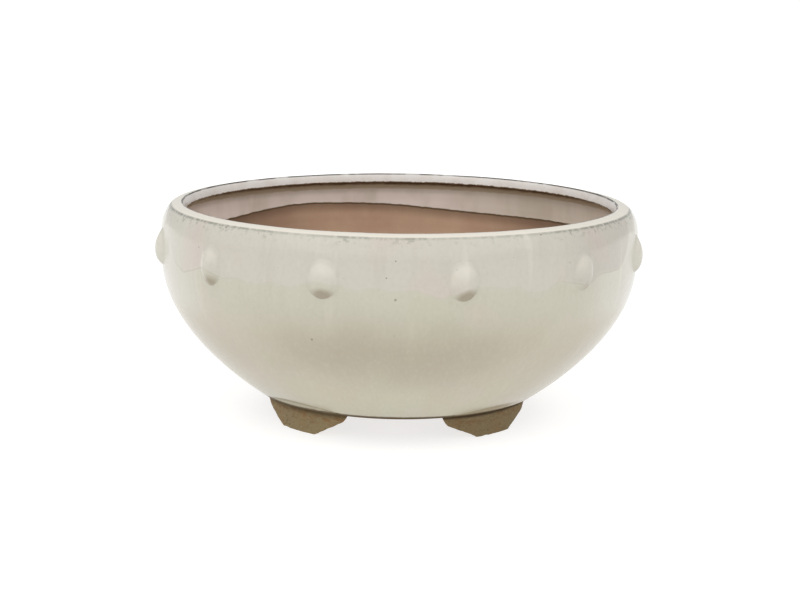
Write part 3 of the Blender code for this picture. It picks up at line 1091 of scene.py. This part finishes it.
        # Where the glaze is thin, over the soft corner of the rim, it breaks to grey green.
        worn = mix.noise(330, 4, 0.65, mix.wrapped(1.2))
        patchy = mix.fade(mix.noise(30, 2, 0.5, mix.wrapped(0.2)), 0.40, 0.62, 0.3, 0.8)
        patchy = mix.sum("MAXIMUM", patchy, flank)
        corner = mix.near_ring(CORNER_RADIUS + 0.35 * MM, CORNER_Z - 1.3 * MM, 0.3 * MM, 1.2 * MM)
        corner = mix.times(corner, mix.fade(worn, 0.36, 0.56, 0.2, 0.95))
        shoulder = mix.fade(mix.height, CORNER_Z - 7 * MM, CORNER_Z - 1.5 * MM)
        shoulder = mix.times(shoulder, mix.fade(worn, 0.52, 0.64, 0.0, 0.6))
        below_corner = mix.fade(mix.height, CORNER_Z - 1.2 * MM, CORNER_Z - 0.6 * MM, 1.0, 0.0)
        shoulder = mix.times(shoulder, below_corner)
        broken = mix.times(mix.sum("MAXIMUM", corner, shoulder), patchy)
        on_top = mix.fade(mix.height, CORNER_Z - 0.7 * MM, CORNER_Z - 0.1 * MM, 0.0, 0.85)
        colour = mix.blend(on_top, colour, PALE_GLAZE_AND_HIGHLIGHT)
        colour = mix.blend(broken, colour, BREAK_GREY)
        crest = mix.near_ring(CREST_RADIUS, CREST_Z, 0.3 * MM, 0.4 * MM)
        crest = mix.times(crest, mix.fade(mix.noise(90, 3), 0.32, 0.5, 0.35, 1.0))
        colour = mix.blend(crest, colour, EDGE_DARK)

        # The glaze stops just short of the base ring, and slip was smeared above the feet.
        # The bare edge is painted darker than the clay, as painted shade under the bowl.
        bare = mix.times(mix.noise(240, 3), 0.9 * MM)
        bare_base_and_shade = mix.fade(mix.sum("SUBTRACT", above_base, bare), 0.1 * MM, 0.7 * MM, 0.95, 0.0)
        colour = mix.blend(bare_base_and_shade, colour, BARE_BASE_AND_SHADE)
        # The smear is tan slip, stronger on the right; on the left it is partly painted shade in
        # the dent.
        right_side = mix.fade(facing.outputs["X"], -0.2, 0.3, 0.25, 0.6)
        smear_tan_and_shade = mix.times(mix.fade(mix.attribute("smear"), 0.02, 0.4), right_side)
        colour = mix.blend(smear_tan_and_shade, colour, SMEAR_TAN_AND_SHADE)

    normal = mix.bump(mix.noise(60, 1, 0.4, mix.wrapped(0.3)), 0.35 * MM, 0.5)
    return mix.finish(colour, 0.2, normal, ior=1.42)


wall_finish = cream_glaze("cream_glaze")
boss_finish = cream_glaze("cream_glaze_on_bosses", boss=True)
print("mixed", wall_finish.name, "and", boss_finish.name)

# %% [markdown]
# ## Inside the mouth
#
# The lip carries the same glaze, thinner and greyer, down to a torn edge. Behind it runs a
# cove, dark brown at the top, partly bare clay and partly painted shade under the lip, and
# buff lower down. Below the cove a band of thin pinkish glaze, darkened under the lip by
# painted shade, ends in a wavy line with a dark margin, and the rest of the inside is bare
# tan clay, darkened towards its left and right ends by painted shade. One material on the
# inside of the wall holds the band, the line and the clay, and reads the height above the
# line from the mesh.

# %% Mix the lip, the cove and the inside
LIP_WHITE = screen_colour(222, 217, 212)
LIP_GREY = screen_colour(214, 207, 200)
COVE_BROWN = screen_colour(190, 175, 152)
# Dark brown clay for torn edges and margins, also painted shade under the lip.
DARK_CLAY_AND_SHADE = screen_colour(98, 78, 50)
# Painted shade on the band under the lip.
BAND_PAINTED_SHADE = screen_colour(172, 158, 142)
BAND_PINK = screen_colour(240, 228, 220)
BAND_GREY = screen_colour(220, 208, 196)
BAND_GREEN = screen_colour(206, 198, 178)
# Brown stain of the clay below the glaze line, also painted shade at the sides.
CLAY_STAIN_AND_SHADE = screen_colour(104, 80, 58)
CLAY_TAN = screen_colour(202, 171, 144)
CLAY_ROSE = screen_colour(190, 156, 132)
CLAY_PALE = screen_colour(214, 190, 166)


def lip_glaze():
    """Grey white glaze on the inner face of the rim, torn to brown at its lower edge."""
    mix = Recipe("lip_glaze")
    colour = mix.blend(mix.fade(mix.noise(60, 4, 0.6), 0.4, 0.65), LIP_WHITE, LIP_GREY)
    torn = mix.noise(420, 4, 0.65, mix.wrapped(0.4))
    torn_edge = mix.sum("MULTIPLY_ADD", torn, 1.6 * MM)
    torn_edge.node.inputs[2].default_value = LIP_Z - 0.35 * MM
    torn_share = mix.fade(mix.sum("SUBTRACT", mix.height, torn_edge), 0.0, 0.25 * MM, 1.0, 0.0)
    colour = mix.blend(torn_share, colour, DARK_CLAY_AND_SHADE)
    crest = mix.near_ring(CREST_RADIUS, CREST_Z, 0.7 * MM, 0.5 * MM)
    crest = mix.times(crest, mix.fade(mix.noise(60, 3), 0.36, 0.5, 0.3, 1.0))
    colour = mix.blend(crest, colour, EDGE_DARK)
    normal = mix.bump(mix.noise(200, 1), 0.1 * MM, 0.4)
    return mix.finish(colour, 0.25, normal)


def cove_clay():
    """Clay behind the lip, dark brown at the top, partly painted shade, and buff lower down."""
    mix = Recipe("cove_clay")
    lower = mix.sum("ADD", mix.height, mix.times(mix.noise(180, 4), 1.6 * MM))
    # Painted shade: darkest right under the lip, on clay that is bare brown there.
    colour = mix.blend(mix.fade(lower, LIP_Z - 0.4 * MM, LIP_Z - 2.6 * MM), DARK_CLAY_AND_SHADE, COVE_BROWN)
    return mix.finish(colour, 0.7, mix.bump(mix.noise(700, 4), 0.2 * MM, 0.5))


def inner_wall():
    """Thin pinkish glaze above a wavy line, and bare clay below it."""
    mix = Recipe("inner_wall")
    above = mix.attribute("above_line")
    ragged = mix.noise(160, 4, 0.6, mix.wrapped(1.0))
    above = mix.sum("ADD", above, mix.times(mix.sum("SUBTRACT", ragged, 0.5), 1.2 * MM))
    clay_cloud = mix.noise(22, 4, 0.55)
    grit = mix.noise(1500, 3, 0.7)
    clay = mix.blend(mix.fade(clay_cloud, 0.35, 0.7), CLAY_TAN, CLAY_ROSE)
    clay = mix.blend(mix.fade(grit, 0.55, 0.75, 0.0, 0.5), clay, CLAY_PALE)
    band_cloud = mix.noise(34, 4, 0.55, mix.wrapped(0.4))
    band = mix.blend(mix.fade(band_cloud, 0.4, 0.66), BAND_PINK, BAND_GREY)
    # Painted shade: the band darkens towards its top, under the lip.
    painted_band_shade = mix.fade(mix.height, JOINT_Z - 5 * MM, JOINT_Z - 0.5 * MM, 0.0, 0.8)
    band = mix.blend(mix.times(painted_band_shade, 0.5), band, BAND_PAINTED_SHADE)
    aside = mix.add("ShaderNodeSeparateXYZ", {"Vector": mix.facing}).outputs["X"]
    band = mix.blend(mix.fade(aside, 0.1, 0.6, 0.0, 0.5), band, BAND_GREEN)
    # Painted shade: the clay darkens towards the left and right ends of the inside.
    clay = mix.blend(mix.fade(mix.apart(aside), 0.3, 0.95, 0.0, 0.72), clay, CLAY_STAIN_AND_SHADE)
    glazed = mix.fade(above, -0.1 * MM, 0.15 * MM)
    colour = mix.blend(glazed, clay, band)
    stain = mix.fade(above, -9.0 * MM, -0.4 * MM, 0.0, 0.6)
    stain = mix.times(stain, mix.fade(above, 0.0, 0.3 * MM, 1.0, 0.0))
    colour = mix.blend(stain, colour, CLAY_STAIN_AND_SHADE)
    off_margin = mix.apart(mix.sum("ADD", above, 0.3 * MM))
    margin = mix.fade(off_margin, 0.35 * MM, 0.9 * MM, 0.9, 0.0)
    colour = mix.blend(margin, colour, DARK_CLAY_AND_SHADE)
    top_end = mix.sum("MULTIPLY_ADD", ragged, -2.2 * MM)
    top_end.node.inputs[2].default_value = JOINT_Z + 0.7 * MM
    top = mix.fade(mix.sum("SUBTRACT", mix.height, top_end), -0.5 * MM, 0.5 * MM)
    colour = mix.blend(top, colour, COVE_BROWN)
    roughness = mix.fade(glazed, 0.0, 1.0, 0.85, 0.28)
    normal = mix.bump(grit, 0.12 * MM, 0.5)
    normal = mix.bump(glazed, 0.35 * MM, 0.8, normal)
    return mix.finish(colour, roughness, normal)


lip_finish = lip_glaze()
cove_finish = cove_clay()
inner_finish = inner_wall()
print("mixed", lip_finish.name, cove_finish.name, inner_finish.name)

# %% [markdown]
# ## Bare clay
#
# The feet and the underside show the sandy stoneware itself: olive buff, with rusty streaks,
# drag marks from the wire that cut it, and painted shade with a dark painted shadow line
# where a foot meets the bowl. The floor inside is the browner tan of clay that the glaze
# never touched.

# %% Mix the bare clays
SAND_PALE = screen_colour(205, 190, 155)
# Painted shadow just under the bowl, on the feet.
PAINTED_SHADOW_DARK = screen_colour(54, 40, 18)


def stoneware(name, base, stain, dark, rust, drag):
    """Sandy bare clay with stains and, where drag is set, marks along the ring."""
    mix = Recipe(name)
    grit = mix.noise(1700, 3, 0.75)
    sand = mix.specks(900, 0.22, 0.32 * MM)
    clouds = mix.noise(60, 4, 0.6)
    marks = mix.noise(240, 4, 0.6, mix.wrapped(drag))
    colour = mix.blend(mix.fade(clouds, 0.35, 0.7), base, stain)
    colour = mix.blend(mix.fade(marks, 0.52, 0.72, 0.0, 0.6), colour, dark)
    colour = mix.blend(mix.fade(grit, 0.5, 0.8, 0.0, 0.55), colour, dark)
    colour = mix.blend(mix.times(sand, 0.5), colour, SAND_PALE)
    rusty = mix.fade(mix.noise(110, 3, 0.55, mix.wrapped(drag + 1.0)), 0.46, 0.62, 0.0, 0.7)
    rusty = mix.times(rusty, mix.fade(mix.height, 5 * MM, BASE_Z - 4 * MM))
    colour = mix.blend(rusty, colour, rust)
    tone = mix.attribute("tone")
    # Painted shade: the clay darkens towards the top of a foot, under the bowl.
    painted_shade_under_bowl = mix.fade(mix.height, BASE_Z - 7 * MM, BASE_Z - 1.5 * MM, 0.0, 0.7)
    colour = mix.blend(mix.sum("MAXIMUM", painted_shade_under_bowl, tone), colour, dark)
    # Painted shadow: a dark wavy line just under the bowl, deeper on darker feet.
    wavy = mix.sum("ADD", mix.height, mix.times(mix.noise(130, 2), 1.2 * MM))
    painted_shadow_line = mix.fade(wavy, BASE_Z - 3.4 * MM, BASE_Z - 1.9 * MM)
    painted_shadow_line = mix.times(painted_shadow_line, mix.fade(tone, 0.0, 0.35, 0.35, 0.85))
    colour = mix.blend(painted_shadow_line, colour, PAINTED_SHADOW_DARK)
    normal = mix.bump(grit, 0.35 * MM, 0.8)
    normal = mix.bump(marks, 0.5 * MM, 0.6, normal)
    normal = mix.bump(mix.noise(420, 3), 0.4 * MM, 0.5, normal)
    return mix.finish(colour, 0.88, normal, ior=1.4)


foot_finish = stoneware(
    "foot_stoneware",
    screen_colour(136, 120, 88),
    screen_colour(138, 114, 80),
    screen_colour(84, 70, 44),
    screen_colour(126, 90, 54),
    drag=3.0,
)
floor_finish = stoneware(
    "floor_stoneware",
    screen_colour(172, 142, 118),
    screen_colour(158, 128, 104),
    screen_colour(128, 102, 80),
    screen_colour(150, 110, 84),
    drag=0.0,
)
print("mixed", foot_finish.name, "and", floor_finish.name)

# %% [markdown]
# ## Dressing the pieces
#
# A piece can carry several finishes, one for each zone of its faces. The wall has three, the
# rim three, and the rest one each.

# %% Put the finishes on
FINISHES = {
    "glazed_wall": (wall_finish, inner_finish, foot_finish),
    "glazed_rim": (wall_finish, lip_finish, cove_finish),
    "fired_floor": (floor_finish,),
}
for piece in PIECES:
    if piece.name.startswith("glazed_boss"):
        finishes = (boss_finish,)
    elif piece.name.startswith("clay_foot"):
        finishes = (foot_finish,)
    else:
        finishes = FINISHES[piece.name]
    for finish in finishes:
        piece.data.materials.append(finish)
    print(piece.name, "wears", ", ".join(finish.name for finish in finishes))

# %% [markdown]
# ## Closing the kiln
#
# A new skin may change a surface but not the size. The last cell counts the pieces.

# %% Count the pieces
print("pieces:", len(PIECES))
